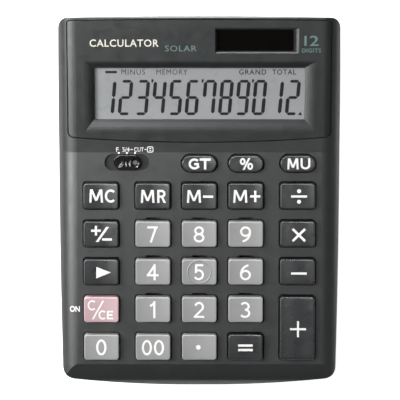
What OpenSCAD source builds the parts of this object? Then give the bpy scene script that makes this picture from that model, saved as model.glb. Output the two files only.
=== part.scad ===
// Twelve-digit desk calculator with a tilted display, 27 keys and a rounding-mode slide switch.
// Millimetres. X to the right, Y to the rear, Z up. The origin is on the desk, under the middle.
// The keys and the display each have a tilted frame whose w = 0 plane is the case's outer face.

/* [Case] */
// Width of the case at its rear
body_w = 110.8; // [110:0.2:112]
// Length of the case, front to rear
body_l = 146.2; // [145.5:0.1:147]
// Thickness of the moulded walls
wall = 2; // [1.8:0.1:2.2]
// How much narrower each side is at the front
side_taper = 0.8; // [0:0.1:1]
// Bulge of each side between its corners
side_bulge = 0.6; // [0.2:0.1:0.8]
// Bow of the front edge
front_bow = 3.2; // [2:0.1:3.6]
// Bow of the rear edge
rear_bow = 0.8; // [0.4:0.1:1.2]
// Corner radius at the front
front_corner_r = 5; // [4:0.5:6]
// Corner radius at the rear
rear_corner_r = 3.6; // [3:0.2:4.4]
// Height of the rubber feet below the base
foot_h = 1; // [0.8:0.1:1.5]

/* [Faces] */
// Tilt of the key face
key_tilt = 6; // [5.5:0.1:6.5]
// Tilt of the display face
display_tilt = 12; // [11:0.2:13]
// Height of the key face at its front crease
face_front_z = 12.8; // [12.6:0.1:14]
// Slope of the band in front of the keys
front_slope = 25; // [22:1:28]
// Radius of the rolls beside the flat faces
side_roll_r = 9.6; // [8.6:0.2:10.4]
// Half width of the flat part of both faces
flat_half_w = 48.4; // [48:0.1:48.8]

/* [Keys] */
// Spacing of the three number columns
column_pitch = 18.4; // [18:0.1:18.6]
// Distance of the outer columns from the middle
outer_column_x = 38.9; // [38.6:0.1:39]
// Spacing of the full rows, along the face
row_pitch = 15.1; // [15:0.05:15.2]
// Width of a key cap
cap_w = 13.9; // [13.4:0.1:14.1]
// Depth of a key cap, along the face
cap_d = 10.6; // [10.2:0.1:10.8]
// Height of the caps above the face
cap_h = 2.8; // [2.4:0.1:3.4]
// How far a key travels when it is pressed
key_travel = 1.5; // [1.2:0.1:1.5]
// Gap round each cap in its opening
cap_gap = 0.45; // [0.35:0.05:0.5]

/* [Display] */
// Width of the visible display window
window_w = 83; // [80:0.2:83.2]
// Height of the visible display window, along the face
window_h = 20.6; // [19.6:0.2:21]
// Depth of the display recess
recess_depth = 1.6; // [1.5:0.1:1.8]
// Width of the solar cell's visible window
solar_w = 30; // [28:0.5:31]

/* [Switch] */
// Travel of the slide switch, each way from the middle
switch_travel = 3.2; // [2.8:0.1:3.3]

/* [Hidden] */
$fn = 48;
HULL_FN = 24;   // circles inside hulls
ARC_STEPS = 6;  // straight pieces in each rounded corner of an outline
FIT = 0.05;     // gap between a screw and its hole
GAP = 0.15;     // gap between parts that sit against each other
FAR = 100;      // past everything

front_y = -body_l / 2;
rear_y = body_l / 2;

// Front crease of the key face, and the front edge of the display panel.
crease_y = front_y + 8.7;
panel_y = rear_y - 48.9;
panel_z = face_front_z + (panel_y - crease_y) * tan(key_tilt) + 0.45;

// Radii where the faces roll into the walls.
front_roll_r = 5;
rear_roll_r = 1.2;
side_roll_start = 3;  // slope at which each side roll starts
side_roll_end = 62;   // slope it would reach outside the wall

// The seam between the two halves, which rises to the rear.
seam_front_z = 5.5;
seam_tilt = 4;
seam_gap = 0.35;
base_z = foot_h;
floor_z = base_z + wall;

// Levels below the key face, measured along its normal.
flange_top = -wall - GAP;
flange_t = 1;
plunger_end = -3.5;
dome_top = plunger_end - 0.1;
sheet_top = -6.1;
board_top = -7;
board_t = 1.6;
board_bottom = board_top - board_t;

// Key layout: columns from the left, rows from the rear, and row 0 holds the oval keys.
columns = [-outer_column_x, -column_pitch, 0, column_pitch, outer_column_x];
front_row_v = 7.4;
function row_v(r) = r == 0 ? front_row_v + 4 * row_pitch + 12.8 : front_row_v + (5 - r) * row_pitch;

cap_r = 1.2;
oval_d = 6.9;
flange_out = 0.95;  // how far the flange reaches past the opening
dome_r = 4.6;
board_half_w = 46.3;
board_rear_v = 91;

// [node, column, row, kind]
KEYS = [
    ["key_gt", 2, 0, "oval"], ["key_percent", 3, 0, "oval"], ["key_mu", 4, 0, "oval"],
    ["key_mc", 0, 1, "dark"], ["key_mr", 1, 1, "dark"], ["key_m_minus", 2, 1, "dark"],
    ["key_m_plus", 3, 1, "dark"], ["key_divide", 4, 1, "dark"],
    ["key_sign", 0, 2, "dark"], ["key_7", 1, 2, "digit"], ["key_8", 2, 2, "digit"],
    ["key_9", 3, 2, "digit"], ["key_multiply", 4, 2, "dark"],
    ["key_backspace", 0, 3, "dark"], ["key_4", 1, 3, "digit"], ["key_5", 2, 3, "digit"],
    ["key_6", 3, 3, "digit"], ["key_minus", 4, 3, "dark"],
    ["key_clear", 0, 4, "clear"], ["key_1", 1, 4, "digit"], ["key_2", 2, 4, "digit"],
    ["key_3", 3, 4, "digit"], ["key_plus", 4, 4.5, "tall"],
    ["key_0", 0, 5, "light"], ["key_00", 1, 5, "light"], ["key_decimal", 2, 5, "light"],
    ["key_equals", 3, 5, "dark"],
];

// Slide switch, in the key frame.
switch_pos = [-28.6, row_v(0) + 0.3];
switch_recess = [17.8, 6.7];
switch_knob = [10.6, 5.9];
recess_floor = -1.6;
pad_bottom = -2.8;
stem = [2.8, 2.2];

// Display panel, in the display frame.
panel_half_w = 51.6;
panel_d = 48.3;
panel_t = 2.2;
groove = 0.45;
pocket_floor = -panel_t - 0.1;
pocket_shelf_t = 1.7;
window_v = 19;
recess_sides = [3.7, 4.5, 4.7, 2.8];  // widths of its left, right, front and rear slopes
recess_edge = 0.95;                   // depth of the slopes at the window
lens_t = 1;
lens_rim = 1.8;
lcd_block = [96, 29.5];
lcd_block_bottom = -recess_depth - lens_t;
glass = [87, 26, 2.2];
reflector_t = 0.3;
holder_bottom = lcd_block_bottom - glass[2] - reflector_t - 1;
holder_screws_at = [for (x = [-45.6, 45.6], v = [window_v - 9, window_v + 9]) [x, v]];
solar_at = [22, 40.1];
solar_h = 8.4;
solar_depth = 1.8;
solar_block = [37, 12.4];
solar_block_bottom = -3.8;
stakes_at = [[-20, 2.3], [20, 2.3], [-40, 41], [-6, 41], [45, 41]];
stake_r = 1;

// Screws: the case halves, in the world frame, and the board, in the key frame.
case_screws_at = [
    for (s = [-1, 1]) each [[s * 28.4, front_y + 6.3], [s * 49.8, -8], [s * 46, 63.5]]
];
board_screw_u = (column_pitch + outer_column_x) / 2;
board_screws_at = [
    for (s = [-1, 1]) each [
        [s * board_screw_u, row_v(4) + row_pitch / 2],
        [s * board_screw_u, row_v(2) + row_pitch / 2],
        [s * 40, 88]
    ]
];
case_boss_r = 2.5;
board_boss_r = 2.2;
case_screw_r = 1.25;
board_screw_r = 0.9;
head_r = 2.4;
seat_t = 2.6;        // from each case screw's seat up to the seam
boss_hole_h = 4.2;   // depth of the screw's hole above the seam
board_posts_at = [for (x = [-column_pitch, column_pitch], r = [1, 3, 5]) [x, row_v(r) - (r == 5 ? 0 : 7.5)]];

// Rubber feet. The rear ones hide the rear case screws.
feet_at = [for (x = [-46, 46], y = [front_y + 12, 63.5]) [x, y]];
foot_r = 5;
foot_recess = 0.8;

// Button cell, its well and its door in the base.
cell_at = [18, 47];
cell_r = 5.8;
cell_h = 5.4;
well_r = 6.25;
well_wall = 1.3;
well_roof_z = floor_z + 5.8;
door_at = [23, 47];
door_size = [30, 18];
door_t = 1.3;
door_screw_at = [34.6, 47];
strip_t = 0.25;

// Recess for a label in the base.
label_at = [-22, 40];
label_size = [46, 22];
label_recess = 0.3;

CASE = "#3b3d40";
DARK_CAP = "#34363a";
LIGHT_CAP = "#9a9b99";
PINK_CAP = "#d3a0a9";
METAL = "#b9bcc0";

// ---------- outlines ----------

// Points of an arc, without its first one, so that arcs can follow each other.
function arc(c, r, a0, a1, n = ARC_STEPS) =
    [for (i = [1:n]) let (a = a0 + (a1 - a0) * i / n) c + r * [cos(a), sin(a)]];

function bow_radius(half, sag) = (half * half + sag * sag) / (2 * sag);

// A side from a to b that bulges, without its first point.
function side(a, b, bulge) =
    let (n = bulge == 0 ? 1 : 8)
    [for (i = [1:n]) a + (b - a) * i / n + [bulge * 4 * i / n * (1 - i / n), 0]];

// A box whose edges bow outwards. Each end is [half width, y, sag, corner radius].
function bowed_box(front, rear, bulge = 0) =
    let (
        rf = bow_radius(front[0], front[2]),
        rr = bow_radius(rear[0], rear[2]),
        cf = [front[0] - front[3], front[1] + rf - sqrt(pow(rf - front[3], 2) - pow(front[0] - front[3], 2))],
        cr = [rear[0] - rear[3], rear[1] - rr + sqrt(pow(rr - rear[3], 2) - pow(rear[0] - rear[3], 2))],
        af = asin(cf[0] / (rf - front[3])),
        ar = asin(cr[0] / (rr - rear[3]))
    )
    concat(
        arc([0, front[1] + rf], rf, 270 - af, 270 + af, 12),
        arc(cf, front[3], 270 + af, 360),
        side([front[0], cf[1]], [rear[0], cr[1]], bulge),
        arc(cr, rear[3], 0, 90 - ar),
        arc([0, rear[1] - rr], rr, 90 - ar, 90 + ar, 8),
        arc([-cr[0], cr[1]], rear[3], 90 + ar, 180),
        side([-rear[0], cr[1]], [-front[0], cf[1]], -bulge),
        arc([-cf[0], cf[1]], front[3], 180, 270 - af)
    );

// The case from above, moved in by inset.
module plan(inset = 0)
    polygon(bowed_box(
        [body_w / 2 - side_taper - inset, front_y + inset, front_bow, max(front_corner_r - inset, 0.8)],
        [body_w / 2 - inset, rear_y - inset, rear_bow, max(rear_corner_r - inset, 0.8)],
        side_bulge
    ));

// The display panel in its own plane, grown by more.
module panel_outline(more = 0)
    polygon(bowed_box(
        [panel_half_w + more, -more, 2.1, 2 + more],
        [panel_half_w + more, panel_d + more, 0.4, 1.2 + more]
    ));

module rounded_rect(size, r) {
    square([size[0] - 2 * r, size[1]], center = true);
    square([size[0], size[1] - 2 * r], center = true);
    for (x = [-1, 1], y = [-1, 1])
        translate([x * (size[0] / 2 - r), y * (size[1] / 2 - r)]) circle(r);
}

module capsule(size)
    rounded_rect([size[0], size[1]], size[1] / 2 - 0.001);

// Where two lines cross, each through p at angle a.
function meet(p, a, q, b) =
    let (t = ((q[0] - p[0]) * sin(b) - (q[1] - p[1]) * cos(b)) / sin(b - a))
    p + t * [cos(a), sin(a)];

// A point moved by inset to the right-hand side of a line at angle a, which is inwards here.
function sunk(p, a, inset) = p + inset * [sin(a), -cos(a)];

// The case from the side, as [y, z]. A cavity steps down to deep below the display face.
module silhouette(inset = 0, deep = 0) {
    crease = [crease_y, face_front_z];
    panel_edge = [panel_y, panel_z];
    rf = max(front_roll_r - inset, 0.5);
    rr = max(rear_roll_r - inset, 0.5);
    front_c = meet(sunk(crease, front_slope, inset + rf), front_slope, [front_y + inset + rf, 0], 90);
    slope_end = meet(sunk(crease, front_slope, inset), front_slope, sunk(crease, key_tilt, inset), key_tilt);
    step = [panel_y - 2.1, 0];
    faces_meet = deep > 0
        ? [meet(sunk(crease, key_tilt, inset), key_tilt, step, 90),
           meet(sunk(panel_edge, display_tilt, deep), display_tilt, step, 90)]
        : [meet(sunk(crease, key_tilt, inset), key_tilt, panel_edge, display_tilt)];
    rear_c = meet(sunk(panel_edge, display_tilt, max(inset, deep) + rr), display_tilt,
                  [rear_y - inset - rr, 0], 90);
    polygon(concat(
        [[front_y + inset, -1], [front_y + inset, front_c[1]]],
        arc(front_c, rf, 180, 90 + front_slope),
        [slope_end],
        faces_meet,
        [rear_c + rr * [-sin(display_tilt), cos(display_tilt)]],
        arc(rear_c, rr, 90 + display_tilt, 0),
        [[rear_y - inset, -1]]
    ));
}

// The case from the front: a roll at each side, and a low ridge above the flat face, which another cut makes.
module gable(inset = 0) {
    r = side_roll_r;
    c = [flat_half_w - r * sin(side_roll_start), -r * cos(side_roll_start)];
    roll = arc(c, r - inset, 90 - side_roll_end, 90 - side_roll_start, 14);
    last = roll[len(roll) - 1];
    right = concat([[roll[0][0], -60]], roll);
    ridge = [[0, last[1] + last[0] * tan(side_roll_start)]];
    polygon(concat(right, ridge, [for (i = [len(right) - 1:-1:0]) [-right[i][0], right[i][1]]]));
}

// ---------- frames ----------

module on_keys() translate([0, crease_y, face_front_z]) rotate([key_tilt, 0, 0]) children();

module on_display() translate([0, panel_y, panel_z]) rotate([display_tilt, 0, 0]) children();

// A 2D shape in the frame, standing from level w0 to w1.
module slab(w0, w1) translate([0, 0, w0]) linear_extrude(w1 - w0) children();

module at(list) for (p = list) translate([p[0], p[1], 0]) children();

// Everything above the seam, moved up by up.
module above_seam(up = 0)
    translate([0, front_y, seam_front_z + up]) rotate([seam_tilt, 0, 0])
        translate([-FAR, -FAR, 0]) cube([2 * FAR, 3 * FAR, FAR]);

module below_seam(down = 0)
    translate([0, front_y, seam_front_z - down]) rotate([seam_tilt, 0, 0])
        translate([-FAR, -FAR, -FAR]) cube([2 * FAR, 3 * FAR, FAR]);

function seam_z(y) = seam_front_z + (y - front_y) * tan(seam_tilt);

// ---------- case ----------

module case_volume(inset = 0, deep = 0)
    intersection() {
        translate([0, 0, -1]) linear_extrude(60) plan(inset);
        rotate([90, 0, 90]) linear_extrude(2 * FAR, center = true) silhouette(inset, deep);
        union() {
            on_keys() rotate([90, 0, 0]) linear_extrude(4 * FAR, center = true) gable(inset);
            on_display() rotate([90, 0, 0]) linear_extrude(4 * FAR, center = true) gable(inset);
        }
    }

function cap_size(kind) =
    kind == "oval" ? [cap_w, oval_d]
    : kind == "tall" ? [cap_w, cap_d + row_pitch]
    : [cap_w, cap_d];

module key_outline(kind, more = 0) {
    size = cap_size(kind) + 2 * [more, more];
    if (kind == "oval") capsule(size);
    else rounded_rect(size, cap_r + more * 0.7);
}

module key_openings()
    for (k = KEYS) translate([columns[k[1]], row_v(k[2]), 0]) slab(-6, 6) {
        key_outline(k[3], cap_gap);
        if (k[3] == "digit") translate([0, cap_d / 2 + cap_gap]) square([5.6, 1.1], center = true);
    }

// Guide ribs that hang below the face beside the outer columns and stop the keys from tilting.
module guide_ribs()
    for (x = [-outer_column_x - 9.1, outer_column_x + 9.1], r = [1:4])
        translate([x, row_v(r) - row_pitch / 2, 0]) slab(-5.5, -wall + 0.5) square([1, 8], center = true);

module top_case() color(CASE) difference() {
    union() {
        difference() {
            case_volume();
            case_volume(wall, pocket_shelf_t - pocket_floor);
            below_seam(-seam_gap / 2);
        }
        intersection() {
            case_volume(0.6);
            union() {
                at(case_screws_at) difference() {
                    cylinder(r = case_boss_r, h = 60);
                    below_seam(0);
                }
                on_keys() at(board_screws_at) slab(board_top, 0) circle(board_boss_r);
                on_keys() guide_ribs();
                on_keys() translate(switch_pos) slab(pad_bottom, -1) capsule(switch_recess + [3, 3]);
            }
            above_seam(0.3);
        }
    }
    on_keys() key_openings();
    on_display() slab(pocket_floor, 8) panel_outline(groove);
    on_display() translate([0, window_v, 0]) slab(-8, 0) square(lcd_block + [0.8, 0.8], center = true);
    on_display() translate(solar_at) slab(-8, 0) square(solar_block + [0.8, 0.8], center = true);
    on_display() at(stakes_at) slab(-8, 0) circle(stake_r + 0.1);
    on_keys() translate(switch_pos) {
        slab(recess_floor, 6) capsule(switch_recess);
        slab(-6, 0) capsule([stem[0] + 2 * switch_travel + 0.6, stem[1] + 0.5]);
    }
    for (p = case_screws_at) translate([p[0], p[1], -1])
        cylinder(r = case_screw_r + FIT, h = seam_z(p[1]) + boss_hole_h + 1);
    on_keys() at(board_screws_at) slab(-9, -3.4) circle(board_screw_r + FIT);
}

module bottom_case() color(CASE) difference() {
    union() {
        difference() {
            intersection() {
                hull() {
                    translate([0, 0, base_z]) linear_extrude(0.01) plan(1.4);
                    translate([0, 0, base_z + 1.4]) linear_extrude(25) plan();
                }
                below_seam(seam_gap / 2);
            }
            translate([0, 0, floor_z]) linear_extrude(40) plan(wall);
        }
        // Tongue that lines up the two halves.
        intersection() {
            difference() {
                union() {
                    case_volume(wall + GAP);
                    intersection() {
                        linear_extrude(40) plan(wall - 0.1);
                        below_seam(seam_gap / 2);
                    }
                }
                linear_extrude(40) plan(wall + 1);
                at(case_screws_at) cylinder(r = case_boss_r + 0.4, h = 60);
            }
            above_seam(-2.4);
            below_seam(-1.3);
        }
        screw_towers();
        intersection() {
            on_keys() at(board_posts_at) slab(-30, board_bottom - 0.1) circle(1.6);
            translate([-FAR, -FAR, floor_z - 0.5]) cube([2 * FAR, 2 * FAR, FAR]);
        }
        translate([cell_at[0], cell_at[1], floor_z - 0.5])
            cylinder(r = well_r + well_wall, h = well_roof_z + 1.2 - floor_z + 0.5);
        translate([door_screw_at[0], door_screw_at[1], floor_z - 0.5]) cylinder(r = 2.6, h = 6);
    }
    for (p = case_screws_at) translate([p[0], p[1], 0]) {
        translate([0, 0, base_z - 1]) cylinder(r = head_r + 0.3, h = seat_z(p[1]) - base_z + 1);
        cylinder(r = case_screw_r + 0.25, h = 40);
    }
    at(feet_at) translate([0, 0, base_z - 1]) cylinder(r = foot_r + 0.1, h = foot_recess + 1);
    // Door recess, with a ledge round the way to the cell.
    translate([door_at[0], door_at[1], base_z - 1])
        linear_extrude(door_t + 1.1) rounded_rect(door_size + [0.4, 0.4], 1.2);
    translate([cell_at[0], cell_at[1], base_z]) cylinder(r = well_r, h = well_roof_z - base_z);
    translate([door_screw_at[0], door_screw_at[1], base_z]) cylinder(r = board_screw_r + FIT, h = 6);
    // Shallow recess for a rating label.
    translate([label_at[0], label_at[1], base_z - 1])
        linear_extrude(label_recess + 1) rounded_rect(label_size, 1.5);
    // Ways out for the two contacts.
    translate([cell_at[0] + 3, cell_at[1] - 1.7, well_roof_z - 0.5]) cube([8, 3.4, 0.55]);
    translate([cell_at[0] - well_r - 0.2, cell_at[1] - 1.7, floor_z]) cube([1.2, 3.4, 12]);
}

// Bottom of each case screw's seat.
function seat_z(y) = seam_z(y) - seat_t;

// A tower for each case screw, which ends just under the seam.
module screw_towers()
    intersection() {
        at(case_screws_at) cylinder(r = head_r + 1.4, h = 40);
        below_seam(0.2 + seam_gap / 2);
        translate([-FAR, -FAR, floor_z - 0.5]) cube([2 * FAR, 2 * FAR, FAR]);
    }

// ---------- display ----------

// A closed skin over rings of equal length, each anticlockwise as seen from the last one.
module skin(rings) {
    n = len(rings[0]);
    last = len(rings) - 1;
    polyhedron([for (ring = rings) each ring], concat(
        [[for (k = [0:n - 1]) k]],
        [[for (k = [n - 1:-1:0]) last * n + k]],
        [for (i = [0:last - 1], k = [0:n - 1])
            [i * n + k, (i + 1) * n + k, (i + 1) * n + (k + 1) % n, i * n + (k + 1) % n]]
    ));
}

module display_panel() color(CASE) on_display() difference() {
    union() {
        intersection() {
            slab(-panel_t, 0) panel_outline();
            rotate([90, 0, 0]) linear_extrude(4 * FAR, center = true) gable();
        }
        translate([0, window_v, 0]) slab(lcd_block_bottom, -1.2) square(lcd_block, center = true);
        translate(solar_at) slab(solar_block_bottom, -1.2) square(solar_block, center = true);
        at(stakes_at) slab(-panel_t - 2.6, -1) circle(stake_r);
    }
    translate([0, window_v, 0]) {
        recess([window_w, window_h], recess_sides, recess_edge, recess_depth);
        slab(-9, -recess_depth) square([window_w + 2 * lens_rim + 0.2, window_h + 2 * lens_rim + 0.2], center = true);
    }
    translate(solar_at) {
        recess([solar_w, solar_h], [0.9, 2.3, 0.8, 0.9], solar_depth - 0.3, solar_depth);
        slab(-9, -solar_depth) square([solar_w + 2.6, solar_h + 2.2], center = true);
    }
    at(holder_screws_at) slab(-9, lcd_block_bottom + 1.5) circle(board_screw_r + FIT);
}

// A recess whose slopes steepen from the face down to the inner opening, at level -edge.
module recess(inner, sides, edge, depth) {
    // Each ring is [how far out on the slopes, level].
    steps = concat(
        [[0, -depth - 0.5], [0, -edge]],
        [for (t = [0.8, 0.6, 0.4, 0.2]) [1 - t, -edge * t * t]],
        [[1, 0], [1, 0.1]]
    );
    skin([
        for (step = steps)
            let (
                left = -inner[0] / 2 - sides[0] * step[0],
                right = inner[0] / 2 + sides[1] * step[0],
                front = -inner[1] / 2 - sides[2] * step[0],
                rear = inner[1] / 2 + sides[3] * step[0]
            )
            [[left, front, step[1]], [right, front, step[1]], [right, rear, step[1]], [left, rear, step[1]]]
    ]);
}

module display_window() color("#dfe5e6", 0.35) on_display() translate([0, window_v, 0])
    slab(-recess_depth - lens_t, -recess_depth - 0.02)
        square([window_w + 2 * lens_rim, window_h + 2 * lens_rim], center = true);

module lcd_glass() color("#a6a8a8") on_display() translate([0, window_v, 0])
    slab(lcd_block_bottom - glass[2], lcd_block_bottom - 0.05) square([glass[0], glass[1]], center = true);

module lcd_reflector() color("#c9cbcb") on_display() translate([0, window_v, 0])
    slab(lcd_block_bottom - glass[2] - reflector_t, lcd_block_bottom - glass[2] - 0.05)
        square([glass[0] - 1, glass[1] - 1], center = true);

module lcd_holder() color("#1e1f21") on_display() translate([0, window_v, 0]) difference() {
    slab(holder_bottom, lcd_block_bottom - 0.02) square(lcd_block, center = true);
    slab(lcd_block_bottom - glass[2] - reflector_t - 0.05, 0)
        square([glass[0] + 0.3, glass[1] + 0.3], center = true);
    slab(-20, 0) square([glass[0] - 10, glass[1] - 9], center = true);
    // Way out for the ribbon along the front edge.
    translate([0, -glass[1] / 2 - 1, 0]) slab(-20, lcd_block_bottom - 0.5) square([64, 8], center = true);
    translate([0, -window_v, 0]) at(holder_screws_at) slab(-20, 0) circle(board_screw_r + 0.2);
}

// A small pan-head screw, head down, whose seat is at z = 0.
module screw(r, head, head_h, length) {
    cylinder(r = r, h = length);
    difference() {
        translate([0, 0, -head_h]) cylinder(r = head, h = head_h);
        for (a = [0, 90]) rotate(a) translate([0, 0, -head_h]) cube([head * 1.1, 0.5, head_h], center = true);
    }
}

module holder_screws() color(METAL) on_display()
    at(holder_screws_at) translate([0, 0, holder_bottom - 0.02]) screw(board_screw_r, 1.6, 0.8, 4.9);

// ---------- ribbon and leads ----------

// A smooth run through the points, with n pieces between each two.
function run(p, n) = [
    for (i = [0:len(p) - 2], j = [0:n - 1])
        let (t = j / n, a = p[max(i - 1, 0)], b = p[i], c = p[i + 1], d = p[min(i + 2, len(p) - 1)])
        0.5 * (2 * b + (c - a) * t + (2 * a - 5 * b + 4 * c - d) * t * t + (3 * b - a - 3 * c + d) * t * t * t),
    p[len(p) - 1]
];

function unit(v) = v / norm(v);

// A round lead of radius r along a path that nowhere runs along X.
module lead(path, r, sides = 8) {
    last = len(path) - 1;
    skin([
        for (i = [0:last])
            let (
                t = unit(path[min(i + 1, last)] - path[max(i - 1, 0)]),
                n = unit(cross([1, 0, 0], t)),
                b = cross(t, n)
            )
            [for (k = [0:sides - 1]) path[i] + r * (cos(360 * k / sides) * n + sin(360 * k / sides) * b)]
    ]);
}

lead_r = 0.5;
lead_end = [0, 24.85, 12.6];  // under the board's rear edge

module solar_leads() color("#8e2f2b") for (x = [14, 30])
    lead(run([[x, 61.5, 26], [x, 60.9, 22.5], [x, 55, 16.2], [x, 42, 13.4], [x, 31.4, 12.2], lead_end + [x, 0, 0]], 5), lead_r);

module battery_leads() color("#26282b") {
    lead(run([[10.4, 47.4, 13], [9.6, 44, 13.8], [8, 36, 12.6], [7, 30, 12], [7, lead_end[1], lead_end[2]]], 5), lead_r);
    lead(run([[25.4, 44.6, 12.2], [25, 41, 12.6], [24, 35, 12.2], [23, 30, 12], [23, lead_end[1], lead_end[2]]], 5), lead_r);
}

// Heat-sealed ribbon from the glass's front edge down to the board, as [y, z] of its middle line.
module lcd_ribbon() color("#c47b2a") {
    line = run([[30.65, 20.27], [29.8, 19], [28.5, 17.5], [26.7, 16.3], [24.3, 15.6]], 5);
    rotate([90, 0, 90]) linear_extrude(60, center = true)
        polygon(concat([for (p = line) p + [0, 0.1]], [for (i = [len(line) - 1:-1:0]) line[i] - [0, 0.1]]));
}

// ---------- solar cell ----------

module solar_window() color("#14120f", 0.6) on_display() translate(solar_at)
    slab(-solar_depth - 0.8, -solar_depth - 0.02) square([solar_w + 2.4, solar_h + 2], center = true);

module solar_cell() color("#1a1412") on_display() translate(solar_at)
    slab(solar_block_bottom - 0.1, -solar_depth - 0.9) square([solar_w + 2.4, solar_h + 2], center = true);

// ---------- board ----------

module main_board() color("#2f5d3a") on_keys() difference() {
    slab(board_bottom, board_top) translate([-board_half_w, 1]) square([2 * board_half_w, board_rear_v - 1]);
    at(board_screws_at) slab(-20, 0) circle(board_screw_r + 0.25);
}

module board_screws() color(METAL) on_keys()
    at(board_screws_at) translate([0, 0, board_bottom - 0.02]) screw(board_screw_r, 1.9, 1, 4.6);

module key_contacts() color("#22211f") on_keys() for (k = KEYS)
    translate([columns[k[1]], row_v(k[2]), 0]) slab(board_top + 0.005, board_top + 0.06) circle(3);

module processor_blob() color("#0f0f10") on_keys() translate([-8, 60, board_bottom - 0.01])
    rotate([180, 0, 0]) intersection() {
        translate([0, 0, -10.4]) sphere(r = 12.2);
        cylinder(r = 8, h = 4);
    }

module capacitors() color("#23355e") on_keys() for (x = [18, 26, 34])
    translate([x, 74, board_bottom - 5.3]) cylinder(r = 2, h = 5.28);

// ---------- keys ----------

// Silicone sheet with a hollow dome under each key.
module dome_sheet() color("#b7bbb9") on_keys() {
    difference() {
        slab(board_top + 0.01, sheet_top) translate([-45.8, 1.4]) square([91.6, 85]);
        at(board_screws_at) slab(-20, 0) circle(board_boss_r + 0.4);
        translate(switch_pos) slab(-20, 0) rounded_rect([24, 8.6], 1);
        for (k = KEYS) translate([columns[k[1]], row_v(k[2]), 0]) slab(-20, 0) circle(dome_r - 0.9);
    }
    for (k = KEYS) translate([columns[k[1]], row_v(k[2]), 0]) dome();
}

module dome()
    difference() {
        translate([0, 0, sheet_top - 0.4]) cylinder(r1 = dome_r, r2 = 2.9, h = dome_top - sheet_top + 0.4);
        translate([0, 0, sheet_top - 0.5]) cylinder(r1 = dome_r - 0.8, r2 = 2.3, h = dome_top - sheet_top - 0.1);
    }

// A key: cap, flange that the case holds in, and a plunger on the dome.
module key(k) {
    kind = k[3];
    size = cap_size(kind);
    tone = kind == "clear" ? PINK_CAP : kind == "digit" || kind == "light" ? LIGHT_CAP : DARK_CAP;
    color(tone) on_keys() translate([columns[k[1]], row_v(k[2]), 0]) {
        difference() {
            union() {
                slab(flange_top - 0.01, cap_h - 0.7) key_outline(kind);
                hull() {
                    slab(cap_h - 0.71, cap_h - 0.7) key_outline(kind, $fn = HULL_FN);
                    slab(cap_h - 0.01, cap_h) key_outline(kind, -0.45, $fn = HULL_FN);
                }
                slab(flange_top - flange_t, flange_top) difference() {
                    key_outline(kind, cap_gap + flange_out);
                    // The flange leaves the notch behind a number key clear.
                    if (kind == "digit") translate([0, size[1] / 2 + cap_gap + 1]) square([6.4, 2], center = true);
                }
            }
            // Shallow dish across the cap.
            translate([0, 0, cap_h + 59.7]) rotate([90, 0, 0]) cylinder(r = 60, h = 60, center = true, $fn = 200);
            slab(-9, cap_h - 2) key_outline(kind, -1.1);
        }
        for (v = kind == "tall" ? [-8, 0, 8] : [0]) translate([0, v, 0]) {
            slab(v == 0 ? plunger_end : flange_top, cap_h - 1.99) circle(1.9);
            slab(flange_top, cap_h - 1.99) square([size[0] - 2.2, 0.8], center = true);
        }
        if (k[0] == "key_5") difference() {
            slab(cap_h - 1, cap_h - 0.12) circle(4.6);
            slab(cap_h - 2, cap_h) circle(4.25);
        }
    }
}

// ---------- switch ----------

module mode_slider() color("#151617") on_keys() translate(switch_pos) {
    difference() {
        slab(recess_floor + 0.1, 0.7) capsule(switch_knob);
        for (s = [-1, 1]) translate([s * 3.4, 0, 4.6]) sphere(r = 4.7);
    }
    slab(pad_bottom - 0.2, recess_floor + 0.2) capsule([stem[0], stem[1]]);
    slab(pad_bottom - 1.1, pad_bottom - 0.15) rounded_rect([16.2, 5.4], 0.8);
}

// Springy contact under the slider.
module slider_wiper() color("#c9a24a") on_keys() translate(switch_pos) {
    slab(pad_bottom - 1.4, pad_bottom - 1.12) rounded_rect([9, 3.4], 0.4);
    for (s = [-1, 1]) translate([s * 3.5, 0, 0]) slab(board_top + 0.1, pad_bottom - 1.3) rounded_rect([0.9, 2.6], 0.3);
}

// ---------- battery ----------

module battery_door() color(CASE) translate([door_at[0], door_at[1], 0]) {
    difference() {
        translate([0, 0, base_z]) linear_extrude(door_t) rounded_rect(door_size, 1.1);
        translate([door_screw_at[0] - door_at[0], 0, 0]) {
            cylinder(r = 2.1, h = base_z + 0.7);
            cylinder(r = board_screw_r + 0.2, h = 5);
        }
        // Grip grooves for a fingertip.
        for (i = [0:3]) translate([-12.6 + 1.6 * i, 0, base_z]) cube([0.7, 9, 0.7], center = true);
    }
    translate([cell_at[0] - door_at[0], 0, base_z + door_t - 0.1]) cylinder(r = cell_r - 0.6, h = floor_z - base_z - door_t + 0.08);
}

module battery_door_screw() color(METAL) translate([door_screw_at[0], door_screw_at[1], base_z + 0.68])
    screw(board_screw_r, 1.8, 0.65, 4.6);

module button_cell() color("#d2d4d6") translate([cell_at[0], cell_at[1], floor_z + 0.05]) {
    cylinder(r = cell_r, h = cell_h - 0.9);
    cylinder(r = cell_r - 1, h = cell_h - 0.3);
}

// Contact on the top of the cell, with a tab up the outside of the well.
module battery_spring() color(METAL) translate([cell_at[0], cell_at[1], 0]) {
    translate([-2, -1.5, well_roof_z - 0.42]) cube([10.6, 3, strip_t]);
    translate([8.6 - strip_t, -1.5, well_roof_z - 0.42]) cube([strip_t, 3, 4]);
}

// Contact on the rim of the cell, with a tab up through the roof of the well.
module battery_clip() color(METAL) translate([cell_at[0] - well_r + 0.05, cell_at[1] - 1.5, floor_z + 0.6])
    cube([strip_t, 3, 10]);

// ---------- fasteners and feet ----------

module case_screws() color("#5b5d60") for (p = case_screws_at)
    translate([p[0], p[1], seat_z(p[1]) - 0.02])
        screw(case_screw_r, head_r, 1.7, 6);

module rubber_feet() color("#1b1b1c") at(feet_at) cylinder(r = foot_r, h = foot_h + foot_recess - 0.02);

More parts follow.
